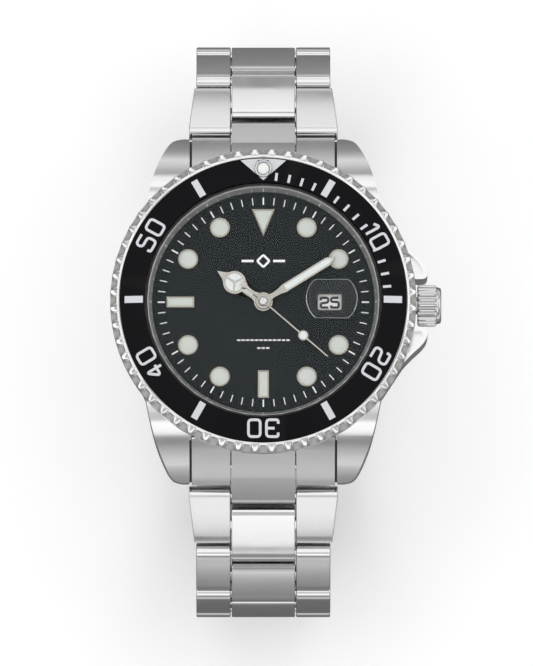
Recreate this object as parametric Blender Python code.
"""Dive watch with a quartz movement on a closed steel bracelet.

The watch lies dial up. X points to 3 o'clock (the crown), Y to 12 o'clock and Z out of the dial.
The origin is on the dial's axis, on the flat underside of the clasp, which the closed bracelet
stands on. Sizes here are in millimetres, and heights in the head are counted from the dial's face.
"""
import math

import bmesh
import bpy
from mathutils import Matrix, Vector

MM = 0.001
ROUND_SIDES = 40

# Bracelet: the loop's side view, one slope below the horizontal for each link from the head down
LINK_PITCH = 8.3
LINK_SLOPES = (26, 56, 82, 104, 127, 149, 168)
LINK_HALF_THICK = 1.4
LINK_WIDTH = 18.6
FIRST_LINK_WIDTH = 20.2
CENTRE_WIDTH = 8.8
SIDE_GAP = 0.15
END_GAP = 0.3
LINK_PIN_R = 0.5
PIN_HOLE_R = 0.65
PIN_HALF_LENGTH = 8.6
FIRST_HINGE = (25.5, -10.4)
CLASP_HINGE_HEIGHT = 3.2

# Case
CASE_R = 20.3
CASE_TOP = -0.6
CASE_BOTTOM = -6.2
LUG_GAP = 20.4
LUG_TIP = 24.1
BORE_R = 16.5
NECK_R = 17.3
NECK_TOP = 1.75
SPRING_BAR_AT = (21.8, -7.6)
SPRING_BAR_R = 0.45
CROWN_Z = -3.4
CROWN_R = 2.9
CROWN_START = 21.3
CROWN_END = 24.6
KNURLS = 24
TUBE_R = 1.2
BAR_HOLE_R = 0.6
GUARD_REACH = 22.7
GUARD_INNER = 3.3

# Caseback
BACK_R = 17.3
BACK_TOP = -6.3
BACK_BOTTOM = -7.8

# Bezel
BEZEL_R = 21.15
BEZEL_SCALLOPS = 56
SCALLOP_DEPTH = 0.55
BEZEL_BOTTOM = -0.3
BEZEL_LIP = 2.3
INSERT_INNER_R = 16.4
INSERT_OUTER_R = 19.85
PIP_AT = 18.25
PIP_R = 1.15

# Crystal and dial
CRYSTAL_R = 15.95
CRYSTAL_BOTTOM = 1.4
CRYSTAL_TOP = 3.1
LENS_SIZE = (7.2, 5.5)
DATE_AT = 9.45
DATE_WINDOW = (2.2, 1.8)
DIAL_R = 16.2
DIAL_THICK = 0.4
MARKER_HEIGHT = 0.25
ROUND_MARKER_AT = 12.0
ROUND_MARKER_R = 1.42
BAR_MARKER = (9.5, 13.4, 1.6)

# Hands: angles clockwise from 12 o'clock, and the layer each one turns in
HOUR_ANGLE = 304
MINUTE_ANGLE = 58
SECOND_ANGLE = 131
HOUR_LENGTH = 7.7
MINUTE_LENGTH = 11.7
SECOND_LENGTH = 11.8
HOUR_LAYER = (0.36, 0.54)
MINUTE_LAYER = (0.70, 0.86)
SECOND_LAYER = (1.00, 1.12)

# Movement
MOVEMENT_R = 12.9
PLATE_BOTTOM = -2.6
ARBOR_END = -4.35
ARBOR_R = 0.15
DATE_TEETH = 31

# Gear trains: teeth of each pair, wheel first
ROTOR_PINION, FIRST_WHEEL = 6, 30
FIRST_PINION, SECONDS_WHEEL = 6, 36
SECONDS_PINION, THIRD_WHEEL = 6, 45
THIRD_PINION, CENTRE_WHEEL = 6, 48
CANNON_PINION, MINUTE_WHEEL = 8, 24
MINUTE_PINION, HOUR_WHEEL = 6, 24
DATE_PINION, DATE_WHEEL = 12, 24
THIRD_DISTANCE = 4.59
FIRST_DISTANCE = 3.78
ROTOR_DISTANCE = 3.24
MINUTE_DISTANCE = 3.2
DATE_DISTANCE = 4.8
THIRD_BEARING = 150
FIRST_BEARING = 60
ROTOR_BEARING = 100
MINUTE_BEARING = 270
DATE_BEARING = 35

# Clasp, in world heights above the surface that it stands on
COVER_HALF_WIDTH = 9.6
WALL_THICK = 0.7
COVER_TOP = 4.9
PAD_TOP = 0.9
COVER_PLATE_TOP = 1.6
COVER_END = 17.9
LONG_BLADE_PIVOT = (-13.6, 2.7)
SHORT_BLADE_PIVOT = (9.5, 3.3)
CATCH_PIVOT = (-16.4, 2.5)
BLADE_HALF_WIDTH = 7.6

STEEL = (0.62, 0.61, 0.59)
BRUSHED = (0.55, 0.55, 0.54)
BRASS = (0.72, 0.56, 0.28)


def clear_scene():
    for thing in list(bpy.data.objects):
        bpy.data.objects.remove(thing, do_unlink=True)


def principled(name, colour, metallic, roughness):
    material = bpy.data.materials.new(name)
    material.use_nodes = True
    shader = material.node_tree.nodes["Principled BSDF"]
    shader.inputs["Base Color"].default_value = (*colour, 1.0)
    shader.inputs["Metallic"].default_value = metallic
    shader.inputs["Roughness"].default_value = roughness
    return material


def to_object(name, bm):
    """Turns a bmesh in millimetres into an object in metres with its faces pointing out."""
    bmesh.ops.recalc_face_normals(bm, faces=bm.faces)
    bmesh.ops.scale(bm, vec=(MM, MM, MM), verts=bm.verts)
    mesh = bpy.data.meshes.new(name)
    bm.to_mesh(mesh)
    bm.free()
    piece = bpy.data.objects.new(name, mesh)
    bpy.context.scene.collection.objects.link(piece)
    return piece


def turned(name, outline, sides):
    """A body of revolution about Z from a closed (radius, height) outline."""
    bm = bmesh.new()
    poles = {k: bm.verts.new((0, 0, z)) for k, (r, z) in enumerate(outline) if r == 0}
    columns = []
    for i in range(sides):
        angle = math.tau * i / sides
        columns.append([
            poles.get(k) or bm.verts.new((r * math.cos(angle), r * math.sin(angle), z))
            for k, (r, z) in enumerate(outline)
        ])
    for here, there in zip(columns, columns[1:] + columns[:1]):
        for k in range(len(outline)):
            after = (k + 1) % len(outline)
            corners = dict.fromkeys([here[k], there[k], there[after], here[after]])
            if len(corners) > 2:
                bm.faces.new(list(corners))
    return to_object(name, bm)


def prism(name, outline, low, high, along="Z"):
    """A closed outline carried from low to high along Z, or along X for an outline in (y, z)."""
    bm = bmesh.new()
    ends = []
    for height in (low, high):
        if along == "Z":
            ends.append([bm.verts.new((a, b, height)) for a, b in outline])
        else:
            ends.append([bm.verts.new((height, a, b)) for a, b in outline])
    bm.faces.new(ends[0])
    bm.faces.new(ends[1])
    for k in range(len(outline)):
        after = (k + 1) % len(outline)
        bm.faces.new([ends[0][k], ends[0][after], ends[1][after], ends[1][k]])
    return to_object(name, bm)


def block(name, low, high):
    """A rectangular bar between two opposite corners."""
    outline = [(low[0], low[1]), (high[0], low[1]), (high[0], high[1]), (low[0], high[1])]
    return prism(name, outline, low[2], high[2])


def arc(centre, radius, start, end, steps):
    """Points on an arc, with angles in degrees counted from the first axis."""
    points = []
    for i in range(steps + 1):
        angle = math.radians(start + (end - start) * i / steps)
        points.append((centre[0] + radius * math.cos(angle), centre[1] + radius * math.sin(angle)))
    return points


def circle(centre, radius, sides):
    return arc(centre, radius, 0, 360 - 360 / sides, sides - 1)


def pin(name, centre, radius, half_length, sides=8):
    """A round pin along X."""
    return prism(name, circle(centre, radius, sides), -half_length, half_length, "X")


def mirrored(half, tip=()):
    """A half outline, an optional point on the mirror line, and the half's mirror image."""
    return half + list(tip) + [(-a, b) for a, b in reversed(half)]


def combine(body, tool, operation):
    """Applies a Boolean of the tool to the body, and removes the tool."""
    modifier = body.modifiers.new(operation, "BOOLEAN")
    modifier.operation = operation
    modifier.object = tool
    modifier.solver = "EXACT"
    graph = bpy.context.evaluated_depsgraph_get()
    result = bpy.data.meshes.new_from_object(body.evaluated_get(graph))
    body.modifiers.clear()
    body.data = result
    bpy.data.objects.remove(tool, do_unlink=True)
    return body


def joined(body, *tools):
    for tool in tools:
        combine(body, tool, "UNION")
    return body


def cut(body, *tools):
    for tool in tools:
        combine(body, tool, "DIFFERENCE")
    return body


def bake(piece, matrix):
    """Moves a piece's mesh by a matrix in millimetres and leaves its origin where it is."""
    scaled = matrix.copy()
    scaled.translation = matrix.translation * MM
    piece.data.transform(scaled)
    return piece


def place(piece, material, parent, at=(0, 0, 0), turn=(0, 0, 0), smooth=True):
    """Gives a piece its material, its parent, and its place in millimetres and degrees."""
    piece.data.materials.clear()
    piece.data.materials.append(material)
    piece.parent = parent
    piece.location = [value * MM for value in at]
    piece.rotation_euler = [math.radians(value) for value in turn]
    if smooth:
        piece.data.shade_smooth()
        piece.data.set_sharp_from_angle(angle=math.radians(35))
    return piece


def empty(name, parent=None, at=(0, 0, 0)):
    guide = bpy.data.objects.new(name, None)
    bpy.context.scene.collection.objects.link(guide)
    guide.parent = parent
    guide.location = [value * MM for value in at]
    return guide


def polar(radius, bearing):
    angle = math.radians(bearing)
    return radius * math.cos(angle), radius * math.sin(angle)


# ---------------------------------------------------------------- bracelet


def hinge_line():
    """The hinge axes from the head down, as (distance from the dial's axis, height)."""
    points = [FIRST_HINGE]
    for slope in LINK_SLOPES:
        angle = math.radians(slope)
        y, z = points[-1]
        points.append((y + LINK_PITCH * math.cos(angle), z - LINK_PITCH * math.sin(angle)))
    return points


HINGES = hinge_line()
HEAD_HEIGHT = CLASP_HINGE_HEIGHT - HINGES[-1][1]


def taper(piece, width_start, width_end):
    """Narrows a link from its near end to its far end by scaling its outer sections in X."""
    full = width_start / 2 * MM
    for vertex in piece.data.vertices:
        share = min(max(vertex.co.y / (LINK_PITCH * MM), 0), 1)
        if abs(vertex.co.x) > full - 0.1 * MM:
            vertex.co.x *= 1 + share * (width_end / width_start - 1)
    return piece


def link_centre(name):
    """The middle section, which reaches half a link further than the outer ones."""
    start = LINK_HALF_THICK + END_GAP
    half = LINK_HALF_THICK
    outline = [(start, half), (start, -half)] + arc((LINK_PITCH, 0), half, -90, 90, 5)
    return prism(name, outline, -CENTRE_WIDTH / 2, CENTRE_WIDTH / 2, "X")


def link_outer(name, inner, outer):
    """One outer section, round about the near hinge and flat at its far end."""
    end = LINK_PITCH - LINK_HALF_THICK - END_GAP
    half = LINK_HALF_THICK
    outline = arc((0, 0), half, 90, 270, 5) + [(end, -half), (end, half)]
    return prism(name, outline, inner, outer, "X")


def bracelet_link(name, width_start, width_end):
    """One link: two outer sections, the middle one, the bar inside them and the far hinge pin."""
    inner = CENTRE_WIDTH / 2 + SIDE_GAP
    outer = width_start / 2
    bar_half = 0.8
    middle = LINK_PITCH / 2
    right = taper(link_outer("right", inner, outer), width_start, width_end)
    left = taper(link_outer("left", -outer, -inner), width_start, width_end)
    reach = inner + 1
    bar = block("bar", (-reach, middle - bar_half, -bar_half), (reach, middle + bar_half, bar_half))
    hinge_pin = pin("pin", (LINK_PITCH, 0), LINK_PIN_R, PIN_HALF_LENGTH)
    link = joined(link_centre(name), bar, right, left, hinge_pin)
    return cut(link, pin("hole", (0, 0), PIN_HOLE_R, PIN_HALF_LENGTH + SIDE_GAP))


def build_bracelet(head, steel):
    """Seven links on each side of the head. Links 2 to 7 share one mesh."""
    first = bracelet_link("link_12_1", FIRST_LINK_WIDTH, LINK_WIDTH + 0.4)
    later = bracelet_link("link_12_2", LINK_WIDTH, LINK_WIDTH)
    for side, turn, sign in (("12", 0, 1), ("6", 180, -1)):
        for k, slope in enumerate(LINK_SLOPES):
            name = f"link_{side}_{k + 1}"
            source = first if k == 0 else later
            piece = bpy.data.objects.get(name)
            if piece is None:
                piece = bpy.data.objects.new(name, source.data)
                bpy.context.scene.collection.objects.link(piece)
            y, z = HINGES[k]
            place(piece, steel, head, (0, sign * y, z), (-slope, 0, turn))


def build_end_link(side, head, steel):
    """The solid piece between the lugs, with its middle section and pin for the first link."""
    outline = [
        (17.2, -1.9), (19.4, -3.2), (21.7, -5.4), (23.4, -7.4), (24.3, -8.7),
        (23.8, -9.7), (22.4, -10.3), (20.0, -9.3), (18.2, -7.7), (17.2, -6.9),
    ]
    half_gap = LUG_GAP / 2 - 0.25
    body = prism(f"end_link_{side}", outline, -half_gap, half_gap, "X")
    barrel = [(0, -12), (CASE_R + 0.3, -12), (CASE_R + 0.3, 2), (0, 2)]
    cut(body, turned("barrel", barrel, ROUND_SIDES))
    half = LINK_HALF_THICK
    tongue_outline = [(-4.2, half), (-4.2, -half)] + arc((0, 0), half, -90, 90, 6)
    tongue = prism("tongue", tongue_outline, -CENTRE_WIDTH / 2, CENTRE_WIDTH / 2, "X")
    tilt = Matrix.Rotation(math.radians(-LINK_SLOPES[0] - 8), 4, "X")
    bake(tongue, Matrix.Translation((0, *FIRST_HINGE)) @ tilt)
    joined(body, tongue, pin("pin", FIRST_HINGE, LINK_PIN_R, PIN_HALF_LENGTH))
    cut(body, pin("bar hole", SPRING_BAR_AT, BAR_HOLE_R, LUG_GAP / 2 + 1))
    place(body, steel, head, turn=(0, 0, 0 if side == "12" else 180))


def build_spring_bar(side, head, steel):
    """A telescopic bar across the lugs: a thick middle and a thin tip at each end."""
    sign = 1 if side == "12" else -1
    outline = [(0, -11.4), (0.35, -11.4), (0.35, -9.4), (SPRING_BAR_R, -9.4)]
    outline += [(r, -z) for r, z in reversed(outline)]
    bar = turned(f"spring_bar_{side}", outline, 10)
    y, z = SPRING_BAR_AT
    place(bar, steel, head, (0, sign * y, z), (0, 90, 0))


# ---------------------------------------------------------------- case


def case_outline():
    """The case seen from the dial side: barrel, four lugs and the two crown guards."""
    inner = LUG_GAP / 2
    lug = [(16.3, 13.0), (14.5, 20.0), (12.9, 23.3), (11.4, LUG_TIP), (inner, LUG_TIP)]
    guard = [(20.4, GUARD_INNER), (GUARD_REACH - 0.2, GUARD_INNER), (GUARD_REACH, 4.6), (22.2, 5.7),
             (20.6, 7.1), (19.3, 8.1)]
    corner = math.degrees(math.acos(inner / CASE_R))
    top = arc((0, 0), CASE_R, corner, 180 - corner, 8)
    left_lug = [(-x, y) for x, y in reversed(lug)]
    left_side = arc((0, 0), CASE_R + 0.2, 146, 214, 10)
    upper = guard + lug + top + left_lug
    lower = [(x, -y) for x, y in reversed(upper)]
    return upper + left_side + lower


def case_side_outline():
    """The case seen from 3 o'clock: flat over the barrel, with lugs that curve down."""
    half = [
        (14.0, CASE_TOP), (16.5, -1.1), (19.0, -2.4), (21.3, -4.5), (23.0, -6.8), (LUG_TIP + 0.1, -8.9),
        (24.0, -9.9), (22.6, -10.3), (20.0, -9.0), (17.6, -7.2), (15.8, CASE_BOTTOM),
    ]
    return mirrored(half)


def build_mid_case(head, steel):
    """The middle of the case with its neck for the crystal, bored for the movement and crown tube."""
    body = prism("mid_case", case_outline(), -12, 0)
    combine(body, prism("side", case_side_outline(), -30, 30, "X"), "INTERSECT")
    neck = [(15, CASE_TOP - 2), (NECK_R, CASE_TOP - 2), (NECK_R, NECK_TOP), (15, NECK_TOP)]
    joined(body, turned("neck", neck, ROUND_SIDES))
    counterbore = CASE_BOTTOM + 0.6
    bore = [
        (0, -12), (BACK_R + 0.4, -12), (BACK_R + 0.4, counterbore),
        (BORE_R, counterbore), (BORE_R, 4), (0, 4),
    ]
    cut(body, turned("bore", bore, ROUND_SIDES))
    for sign in (1, -1):
        y, z = SPRING_BAR_AT
        cut(body, pin("bar hole", (sign * y, z), BAR_HOLE_R, 11.8))
    hole_r = TUBE_R + 0.15
    tube_hole = turned("tube hole", [(0, 14), (hole_r, 14), (hole_r, 26), (0, 26)], 16)
    bake(tube_hole, Matrix.Translation((0, 0, CROWN_Z)) @ Matrix.Rotation(math.radians(90), 4, "Y"))
    place(cut(body, tube_hole), steel, head)


def build_caseback(head, steel, rubber):
    """The pressed back, and the ring that seals it against the case."""
    outline = [(0, BACK_BOTTOM), (15.4, BACK_BOTTOM), (BACK_R, -7.2), (BACK_R, BACK_TOP), (0, BACK_TOP)]
    place(turned("caseback", outline, ROUND_SIDES), steel, head)
    gasket = [(16.75, -6.15), (17.35, -6.15), (17.35, -5.75), (16.75, -5.75)]
    place(turned("caseback_gasket", gasket, ROUND_SIDES), rubber, head)


def along_crown(name, outline, sides):
    """A turned piece whose axis is the crown's, with the outline's heights counted along X."""
    return bake(turned(name, outline, sides), Matrix.Rotation(math.radians(90), 4, "Y"))


def build_crown(head, steel, stem_steel):
    """The knurled crown with its cap, the tube that it slides on, and the stem inside."""
    tube = [(0.75, 18.4), (TUBE_R, 18.4), (TUBE_R, 22.3), (0.75, 22.3)]
    place(along_crown("crown_tube", tube, 16), steel, head, (0, 0, CROWN_Z))
    knurl = []
    step = 360 / KNURLS
    for k in range(KNURLS):
        knurl += [polar(CROWN_R, k * step), polar(CROWN_R - 0.3, (k + 0.5) * step)]
    grip = prism("crown", knurl, CROWN_START, CROWN_END - 0.6)
    cap = [(0, 23), (2.5, 23), (2.5, CROWN_END - 0.2), (2.2, CROWN_END), (0, CROWN_END)]
    hollow = [(0, 20), (1.5, 20), (1.5, 22.7), (0.45, 22.7), (0.45, 23.5), (0, 23.5)]
    crown = joined(grip, turned("cap", cap, KNURLS))
    cut(crown, turned("hollow", hollow, 16))
    bake(crown, Matrix.Rotation(math.radians(90), 4, "Y"))
    place(crown, steel, head, (0, 0, CROWN_Z))
    stem = [
        (0, 6.6), (0.3, 6.6), (0.3, 9.6), (0.16, 9.6),
        (0.16, 10.2), (0.3, 10.2), (0.3, 23.3), (0, 23.3),
    ]
    place(along_crown("stem", stem, 10), stem_steel, head, (0, 0, CROWN_Z))


def build_setting_parts(head, steel):
    """The pinion that turns with the stem, and the lever that follows the stem as it is pulled."""
    pinion = [(0.42, 7.4), (0.68, 7.4), (0.68, 9.0), (0.42, 9.0)]
    place(along_crown("setting_pinion", pinion, 10), steel, head, (0, 0, CROWN_Z))
    lever = [(-0.6, -0.6), (0.6, -0.6), (0.7, 0.4), (0.35, 2.3), (-0.35, 2.3), (-0.7, 0.4)]
    place(prism("setting_lever", lever, -0.12, 0.12), steel, head, (9.9, -2.4, CROWN_Z - 0.7))


# ---------------------------------------------------------------- bezel and crystal


def scalloped_rim():
    """The rim's outline: a tooth and a scoop, repeated."""
    points = []
    step = 360 / BEZEL_SCALLOPS
    low = BEZEL_R - SCALLOP_DEPTH
    for k in range(BEZEL_SCALLOPS):
        start = k * step
        points += [polar(BEZEL_R, start), polar(low, start + 0.5 * step)]
    return points


def build_bezel(head, steel, black, lume):
    """The turning ring with its stepped seat, the sloping insert and the lume bead at 12."""
    ring = prism("bezel_ring", scalloped_rim(), BEZEL_BOTTOM, BEZEL_LIP)
    seat = [
        (0, -2), (19.2, -2), (19.2, 0.3), (17.6, 0.3), (17.6, 1.9), (16.5, 1.9),
        (16.5, 2.2), (19.95, 1.65), (19.95, 4), (0, 4),
    ]
    cut(ring, turned("seat", seat, ROUND_SIDES))
    place(ring, steel, head)
    insert = [(INSERT_INNER_R, 2.35), (INSERT_OUTER_R, 1.8), (INSERT_OUTER_R, 2.3), (INSERT_INNER_R, 2.85)]
    disc = turned("bezel_insert", insert, ROUND_SIDES)
    hole = turned("hole", [(0, 0), (PIP_R + 0.1, 0), (PIP_R + 0.1, 4), (0, 4)], 16)
    cut(disc, bake(hole, Matrix.Translation((0, PIP_AT, 0))))
    place(disc, black, head)
    pip = [(0, 2.2), (PIP_R, 2.2), (PIP_R, 2.9), (0.7, 3.1), (0, 3.15)]
    place(turned("bezel_pip", pip, 16), lume, head, (0, PIP_AT, 0))


def build_click_spring(head, steel):
    """An open ring of flat wire that lies in the bezel's groove and clicks in its teeth."""
    outline = arc((0, 0), 18.9, 6, 354, 36) + arc((0, 0), 18.2, 354, 6, 36)
    place(prism("bezel_click_spring", outline, -0.48, -0.2), steel, head)


def build_crystal(head, glass, rubber, steel):
    """The crystal with its gasket, the date magnifier on it and the sloping ring below it."""
    outline = [
        (0, CRYSTAL_BOTTOM), (CRYSTAL_R, CRYSTAL_BOTTOM), (CRYSTAL_R, 2.8),
        (15.6, CRYSTAL_TOP), (0, CRYSTAL_TOP),
    ]
    place(turned("crystal", outline, ROUND_SIDES), glass, head)
    half_x, half_y = LENS_SIZE[0] / 2, LENS_SIZE[1] / 2
    reach = math.degrees(math.asin(half_y / half_x))
    rounded = arc((0, 0), half_x, -reach, reach, 6) + arc((0, 0), half_x, 180 - reach, 180 + reach, 6)
    low = CRYSTAL_TOP + 0.08
    place(prism("date_magnifier", rounded, low, low + 0.6), glass, head, (DATE_AT, 0, 0))
    gasket = [(16.05, 1.45), (16.38, 1.45), (16.38, NECK_TOP), (16.05, NECK_TOP)]
    place(turned("crystal_gasket", gasket, ROUND_SIDES), rubber, head)
    ring = [(15.4, 0.1), (16.3, 0.1), (16.3, 1.3), (15.8, 1.3)]
    place(turned("dial_ring", ring, ROUND_SIDES), steel, head)


# ---------------------------------------------------------------- dial and hands


def build_dial(head, dark):
    """The dial with its raised hour markers, and its holes for the hands and the date."""
    dial = turned("dial", [(0, -DIAL_THICK), (DIAL_R, -DIAL_THICK), (DIAL_R, 0), (0, 0)], ROUND_SIDES)
    low, high = -0.1, MARKER_HEIGHT
    for hour in (1, 2, 4, 5, 7, 8, 10, 11):
        centre = polar(ROUND_MARKER_AT, 90 - 30 * hour)
        joined(dial, prism("marker", circle(centre, ROUND_MARKER_R, 10), low, high))
    inner, outer, width = BAR_MARKER
    joined(dial, block("bar 9", (-outer, -width / 2, low), (-inner, width / 2, high)))
    joined(dial, block("bar 6", (-width / 2, -outer, low), (width / 2, -inner, high)))
    joined(dial, prism("triangle", [(-1.65, 13.0), (0, 9.1), (1.65, 13.0)], low, high))
    half_x, half_y = DATE_WINDOW[0] / 2, DATE_WINDOW[1] / 2
    window = block("window", (DATE_AT - half_x, -half_y, -1), (DATE_AT + half_x, half_y, 1))
    centre_hole = turned("centre hole", [(0, -1), (1.25, -1), (1.25, 1), (0, 1)], 16)
    place(cut(dial, window, centre_hole), dark, head)


def clockwise(angle):
    """The turn that carries a hand from 12 o'clock to the given angle."""
    return Matrix.Rotation(math.radians(-angle), 4, "Z")


def build_hands(head, steel):
    """The three hands, each drawn pointing to 12 o'clock and then turned to its angle."""
    hour_half = [(0.5, -1.6), (1.4, -0.9), (1.4, 0.9), (0.5, 1.5), (0.5, 3.3)]
    hour_half += arc((0, 4.8), 1.6, -65, 65, 6) + [(0.9, 6.4)]
    hour = prism("hour_hand", mirrored(hour_half, [(0, HOUR_LENGTH)]), *HOUR_LAYER)
    cut(hour, turned("hub hole", [(0, 0), (1.12, 0), (1.12, 1), (0, 1)], 16))
    place(bake(hour, clockwise(HOUR_ANGLE)), steel, head)
    minute_half = [(0.3, -2.0), (1.0, -0.8), (1.0, 0.8), (0.35, 1.8), (0.58, 3.6), (0.58, 10.4)]
    minute = prism("minute_hand", mirrored(minute_half, [(0, MINUTE_LENGTH)]), *MINUTE_LAYER)
    cut(minute, turned("hub hole", [(0, 0), (0.66, 0), (0.66, 1), (0, 1)], 12))
    place(bake(minute, clockwise(MINUTE_ANGLE)), steel, head)
    second_half = arc((0, -3.5), 0.45, -90, 60, 4) + [(0.12, -0.9)] + arc((0, 0), 0.8, -60, 60, 4)
    second_half += [(0.11, 1.0), (0.11, 6.6)] + arc((0, 7.3), 0.72, -75, 75, 6)
    second_half += [(0.1, 8.2), (0.08, SECOND_LENGTH)]
    second = prism("second_hand", mirrored(second_half), *SECOND_LAYER)
    hole_r = ARBOR_R + 0.05
    cut(second, turned("hub hole", [(0, 0), (hole_r, 0), (hole_r, 2), (0, 2)], 10))
    place(bake(second, clockwise(SECOND_ANGLE)), steel, head)


# ---------------------------------------------------------------- movement


def gear_outline(teeth, pitch_radius, phase):
    """A wheel's outline: pointed roots and flat tips, with one tooth's centre at the phase angle."""
    module = 2 * pitch_radius / teeth
    step = 360 / teeth
    root = pitch_radius - 1.2 * module
    tip = pitch_radius + 0.8 * module
    points = []
    for k in range(teeth):
        middle = phase + k * step
        for radius, side in ((tip, -0.12), (tip, 0.12), (root, 0.5)):
            points.append(polar(radius, middle + side * step))
    return points


def meshing_phase(teeth, phase, other_teeth, bearing):
    """The phase of a wheel on the given bearing whose gaps meet the first wheel's teeth."""
    return bearing + 180 - (phase - bearing) * teeth / other_teeth - 180 / other_teeth


def pair_radii(distance, teeth, other_teeth):
    total = teeth + other_teeth
    return distance * teeth / total, distance * other_teeth / total


def arbor(name, low, high, radius=ARBOR_R):
    return prism(name, circle((0, 0), radius, 8), low, high)


def gear(name, teeth, radius, phase, low, high):
    return prism(name, gear_outline(teeth, radius, phase), low, high)


def rotor_centre():
    x, y = polar(FIRST_DISTANCE, FIRST_BEARING)
    step_x, step_y = polar(ROTOR_DISTANCE, ROTOR_BEARING)
    return x + step_x, y + step_y


def build_going_train(head, brass, steel):
    """Rotor, intermediate wheel, seconds wheel, third wheel and centre wheel."""
    third_at = polar(THIRD_DISTANCE, THIRD_BEARING)
    first_at = polar(FIRST_DISTANCE, FIRST_BEARING)

    first_pinion_r, seconds_r = pair_radii(FIRST_DISTANCE, FIRST_PINION, SECONDS_WHEEL)
    seconds_pinion_r, third_r = pair_radii(THIRD_DISTANCE, SECONDS_PINION, THIRD_WHEEL)
    third_pinion_r, centre_r = pair_radii(THIRD_DISTANCE, THIRD_PINION, CENTRE_WHEEL)
    rotor_pinion_r, first_r = pair_radii(ROTOR_DISTANCE, ROTOR_PINION, FIRST_WHEEL)

    seconds = gear("seconds_wheel", SECONDS_WHEEL, seconds_r, 0, -4.0, -3.8)
    joined(seconds, gear("pinion", SECONDS_PINION, seconds_pinion_r, 0, -3.85, -3.3))
    joined(seconds, arbor("arbor", ARBOR_END, 1.2))
    place(seconds, brass, head)

    first_pinion_phase = meshing_phase(SECONDS_WHEEL, 0, FIRST_PINION, FIRST_BEARING)
    first = gear("intermediate_wheel", FIRST_WHEEL, first_r, 0, -3.3, -3.1)
    joined(first, gear("pinion", FIRST_PINION, first_pinion_r, first_pinion_phase, -4.1, -3.25))
    joined(first, arbor("arbor", ARBOR_END, -3.05))
    place(first, brass, head, (*first_at, 0))

    rotor_phase = meshing_phase(FIRST_WHEEL, 0, ROTOR_PINION, ROTOR_BEARING)
    rotor = turned("rotor", [(0, -4.05), (0.6, -4.05), (0.6, -3.5), (0, -3.5)], 12)
    joined(rotor, gear("pinion", ROTOR_PINION, rotor_pinion_r, rotor_phase, -3.55, -3.0))
    joined(rotor, arbor("arbor", ARBOR_END, -2.75))
    place(rotor, steel, head, (*rotor_centre(), 0))

    third_phase = meshing_phase(SECONDS_PINION, 0, THIRD_WHEEL, THIRD_BEARING)
    third = gear("third_wheel", THIRD_WHEEL, third_r, third_phase, -3.6, -3.42)
    joined(third, gear("pinion", THIRD_PINION, third_pinion_r, 0, -3.45, -2.75))
    joined(third, arbor("arbor", ARBOR_END, -2.68))
    place(third, brass, head, (*third_at, 0))

    centre_phase = meshing_phase(THIRD_PINION, 0, CENTRE_WHEEL, THIRD_BEARING + 180)
    centre = gear("centre_wheel", CENTRE_WHEEL, centre_r, centre_phase, -2.95, -2.75)
    cannon_r = pair_radii(MINUTE_DISTANCE, CANNON_PINION, MINUTE_WHEEL)[0]
    joined(centre, arbor("tube", -2.9, 0.92, 0.58))
    joined(centre, gear("cannon", CANNON_PINION, cannon_r, 0, -1.25, -1.03))
    place(cut(centre, arbor("tube hole", -4, 2, 0.26)), brass, head)


def build_motion_work(head, brass):
    """Minute wheel and hour wheel under the dial, and the wheel that moves the date."""
    minute_r = pair_radii(MINUTE_DISTANCE, CANNON_PINION, MINUTE_WHEEL)[1]
    minute_pinion_r, hour_r = pair_radii(MINUTE_DISTANCE, MINUTE_PINION, HOUR_WHEEL)
    date_pinion_r, date_r = pair_radii(DATE_DISTANCE, DATE_PINION, DATE_WHEEL)

    minute_phase = meshing_phase(CANNON_PINION, 0, MINUTE_WHEEL, MINUTE_BEARING)
    minute = gear("minute_wheel", MINUTE_WHEEL, minute_r, minute_phase, -1.25, -1.07)
    joined(minute, gear("pinion", MINUTE_PINION, minute_pinion_r, 0, -1.1, -0.6))
    place(minute, brass, head, (*polar(MINUTE_DISTANCE, MINUTE_BEARING), 0))

    hour_phase = meshing_phase(MINUTE_PINION, 0, HOUR_WHEEL, MINUTE_BEARING + 180)
    hour = gear("hour_wheel", HOUR_WHEEL, hour_r, hour_phase, -0.8, -0.62)
    joined(hour, gear("date pinion", DATE_PINION, date_pinion_r, 0, -1.0, -0.75))
    joined(hour, arbor("pipe", -0.7, 0.6, 1.02))
    place(cut(hour, arbor("pipe hole", -2, 2, 0.76)), brass, head)

    date_phase = meshing_phase(DATE_PINION, 0, DATE_WHEEL, DATE_BEARING)
    wheel = gear("date_wheel", DATE_WHEEL, date_r, date_phase, -1.0, -0.86)
    finger = block("finger", (-0.3, -0.2, -0.88), (3.3, 0.2, -0.57))
    joined(wheel, bake(finger, Matrix.Rotation(math.radians(DATE_BEARING), 4, "Z")))
    place(wheel, brass, head, (*polar(DATE_DISTANCE, DATE_BEARING), 0))


def build_date_disc(head, white):
    """A ring with one inner tooth for each day of the month."""
    step = 360 / DATE_TEETH
    inner = []
    for k in range(DATE_TEETH):
        gap = DATE_BEARING + k * step
        inner += [polar(8.4, gap - 0.3 * step), polar(8.4, gap + 0.3 * step), polar(7.8, gap + 0.5 * step)]
    disc = prism("date_disc", circle((0, 0), 12.8, ROUND_SIDES), -0.76, -0.56)
    place(cut(disc, prism("teeth", inner, -2, 0)), white, head)


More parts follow.
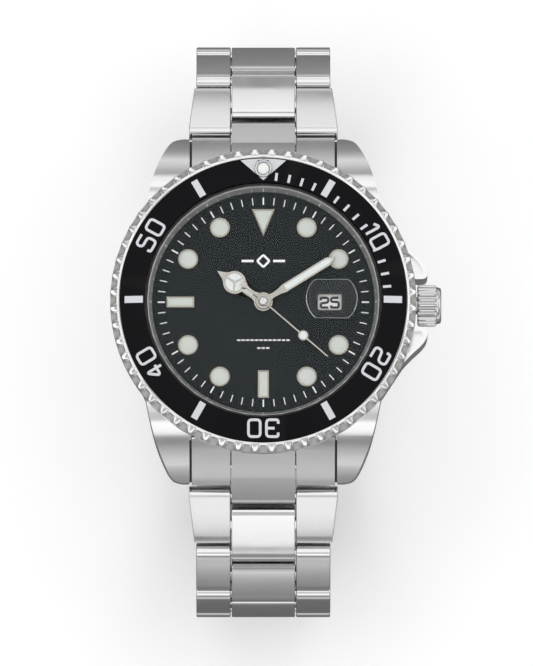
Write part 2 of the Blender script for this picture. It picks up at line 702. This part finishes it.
def build_movement_frame(head, brass, plastic):
    """The main plate, the bridge that carries the train, and the ring that centres the movement."""
    plate = [
        (0.75, PLATE_BOTTOM), (MOVEMENT_R, PLATE_BOTTOM), (MOVEMENT_R, -0.86),
        (8.9, -0.86), (8.9, -1.35), (0.75, -1.35),
    ]
    place(turned("main_plate", plate, ROUND_SIDES), brass, head)
    bridge = arc((0, 0), MOVEMENT_R - 0.4, -8, 188, 20)
    place(prism("train_bridge", bridge, -4.9, -4.45), brass, head)
    holder = [(MOVEMENT_R + 0.2, -6.0), (16.2, -6.0), (16.2, -0.5), (MOVEMENT_R + 0.2, -0.5)]
    ring = turned("movement_holder", holder, ROUND_SIDES)
    slot = block("slot", (12, -0.8, CROWN_Z - 0.8), (18, 0.8, CROWN_Z + 0.8))
    place(cut(ring, slot), plastic, head)


def build_electrics(head, steel, copper, green):
    """Battery, circuit board, coil, and the stator around the rotor."""
    battery = [(0, -5.9), (4.75, -5.9), (4.75, -4.2), (4.3, -3.9), (0, -3.9)]
    place(turned("battery", battery, 24), steel, head, (-3.6, -6.9, 0))
    board = [(2.0, -3.2), (6.2, -3.2), (8.6, -4.6), (8.6, -8.2), (5.0, -10.6), (2.0, -11.4)]
    place(prism("circuit_board", board, -4.9, -4.6), green, head)
    coil = [(0, -5.0), (0.4, -5.0), (0.4, -4.2), (0.8, -4.2), (0.8, -4.0), (0.68, -4.0)]
    coil += [(r, -z) for r, z in reversed(coil)]
    place(turned("coil", coil, 12), copper, head, (0, 10.1, -3.6), (0, 90, 0))
    stator = [(-5.6, 5.0), (6.4, 5.0), (6.4, 8.2), (-5.6, 8.2)]
    hole = bake(arbor("rotor hole", -5, -2, 0.85), Matrix.Translation((*rotor_centre(), 0)))
    place(cut(prism("stator", stator, -3.95, -3.62), hole), steel, head)


# ---------------------------------------------------------------- clasp


def build_clasp_cover(steel):
    """The cover: a plate with a raised pad, two walls, and knuckles for the last link's pin."""
    half = COVER_HALF_WIDTH
    low_end = LONG_BLADE_PIVOT[0] - 1.8
    cover = block("clasp_cover", (-half, low_end, PAD_TOP), (half, COVER_END, COVER_PLATE_TOP))
    pad_start = CATCH_PIVOT[0] + 7.4
    joined(cover, block("pad", (-half, pad_start, 0), (half, COVER_END - 0.4, PAD_TOP + 0.1)))
    wall = [(-17.5, PAD_TOP), (COVER_END, PAD_TOP), (COVER_END, 3.6), (COVER_END - 1.6, COVER_TOP),
            (-16.2, COVER_TOP), (-17.5, 3.6)]
    for sign in (1, -1):
        sides = sorted((sign * half, sign * (half - WALL_THICK)))
        joined(cover, prism("wall", wall, *sides, "X"))
    knuckle_at = (HINGES[-1][0], CLASP_HINGE_HEIGHT)
    root = knuckle_at[0] - 3
    knuckle_r = 1.35
    outline = [(root, 1.3)] + arc(knuckle_at, knuckle_r, -90, 90, 6) + [(root, knuckle_at[1] + knuckle_r)]
    for sign in (1, -1):
        sides = sorted((sign * (CENTRE_WIDTH / 2 + 0.25), sign * 8.2))
        joined(cover, prism("knuckle", outline, *sides, "X"))
    cut(cover, pin("pin hole", knuckle_at, PIN_HOLE_R, PIN_HALF_LENGTH + 0.1))
    cut(cover, pin("blade hole", LONG_BLADE_PIVOT, 0.55, 12))
    cut(cover, pin("catch hole", CATCH_PIVOT, 0.55, 12))
    place(cover, steel, None)


def build_blades(steel):
    """The two folding blades that lie inside the closed cover."""
    pivot_y, pivot_z = LONG_BLADE_PIVOT
    tip_y, tip_z = SHORT_BLADE_PIVOT
    half = BLADE_HALF_WIDTH
    long_blade = block("clasp_blade_long", (-half, pivot_y, 2.1), (half, tip_y - 1.2, 2.9))
    joined(long_blade, block("tab", (-3, tip_y - 2, 2.1), (3, tip_y, 2.9)))
    joined(long_blade, pin("knuckle", LONG_BLADE_PIVOT, 0.8, half, 12))
    joined(long_blade, pin("pin", LONG_BLADE_PIVOT, 0.4, 9.4))
    joined(long_blade, pin("tip knuckle", SHORT_BLADE_PIVOT, 0.8, 3, 12))
    joined(long_blade, pin("tip pin", SHORT_BLADE_PIVOT, 0.35, 6.8))
    shift_to_pivot(long_blade, LONG_BLADE_PIVOT)
    place(long_blade, steel, None, (0, pivot_y, pivot_z))

    short_blade = block("clasp_blade_short", (-7, -11.5, 3.7), (7, tip_y - 0.4, 4.5))
    joined(short_blade, pin("knuckle", SHORT_BLADE_PIVOT, 0.8, 7, 12))
    cut(short_blade, block("gap", (-3.3, tip_y - 1.3, 2), (3.3, tip_y + 2, 5)))
    cut(short_blade, pin("pin hole", SHORT_BLADE_PIVOT, 0.5, 8))
    shift_to_pivot(short_blade, SHORT_BLADE_PIVOT)
    place(short_blade, steel, None, (0, tip_y, tip_z))


def build_catch(steel):
    """The fold-over catch: a plate flush with the cover's pad, and two ears on a pin."""
    y, z = CATCH_PIVOT
    inner = COVER_HALF_WIDTH + 0.15
    outer = inner + 0.6
    plate = block("safety_catch", (-outer, y + 1.3, 0), (outer, y + 7.1, 0.6))
    ear = arc(CATCH_PIVOT, 1.0, 0, 180, 6)
    ear += [(y - 1.0, 1.6), (y - 0.2, 0.5), (y + 1.3, 0), (y + 3.6, 0), (y + 3.6, 0.6), (y + 1.0, 1.6)]
    for sign in (1, -1):
        sides = sorted((sign * inner, sign * outer))
        joined(plate, prism("ear", ear, *sides, "X"))
        pin_ends = sorted((sign * 9.0, sign * (inner + 0.2)))
        joined(plate, prism("ear pin", circle(CATCH_PIVOT, 0.4, 8), *pin_ends, "X"))
    shift_to_pivot(plate, CATCH_PIVOT)
    place(plate, steel, None, (0, y, z))


def shift_to_pivot(piece, pivot):
    """Moves the mesh so that the object's origin can stand on its pivot."""
    bake(piece, Matrix.Translation(Vector((0, -pivot[0], -pivot[1]))))


def main():
    clear_scene()
    polished = principled("polished steel", STEEL, 1.0, 0.15)
    brushed = principled("brushed steel", BRUSHED, 1.0, 0.35)
    brass = principled("brass", BRASS, 1.0, 0.3)
    copper = principled("copper", (0.75, 0.4, 0.25), 1.0, 0.35)
    black = principled("black insert", (0.01, 0.01, 0.012), 0.0, 0.12)
    dark = principled("dark dial", (0.04, 0.05, 0.055), 0.1, 0.4)
    white = principled("white", (0.85, 0.85, 0.85), 0.0, 0.5)
    lume = principled("lume", (0.8, 0.86, 0.8), 0.0, 0.5)
    rubber = principled("rubber", (0.03, 0.03, 0.03), 0.0, 0.7)
    plastic = principled("holder plastic", (0.8, 0.8, 0.78), 0.0, 0.5)
    green = principled("circuit board", (0.05, 0.3, 0.15), 0.0, 0.4)
    glass = principled("crystal glass", (0.95, 0.97, 0.97), 0.0, 0.02)

    head = empty("dial_centre", at=(0, 0, HEAD_HEIGHT))
    build_mid_case(head, brushed)
    build_caseback(head, brushed, rubber)
    build_crown(head, polished, brushed)
    build_setting_parts(head, brushed)
    build_bezel(head, polished, black, lume)
    build_click_spring(head, brushed)
    build_crystal(head, glass, rubber, polished)
    build_dial(head, dark)
    build_hands(head, polished)
    build_going_train(head, brass, brushed)
    build_motion_work(head, brass)
    build_date_disc(head, white)
    build_movement_frame(head, brass, plastic)
    build_electrics(head, brushed, copper, green)
    for side in ("12", "6"):
        build_end_link(side, head, brushed)
        build_spring_bar(side, head, brushed)
    build_bracelet(head, brushed)
    build_clasp_cover(brushed)
    build_blades(polished)
    build_catch(brushed)


main()
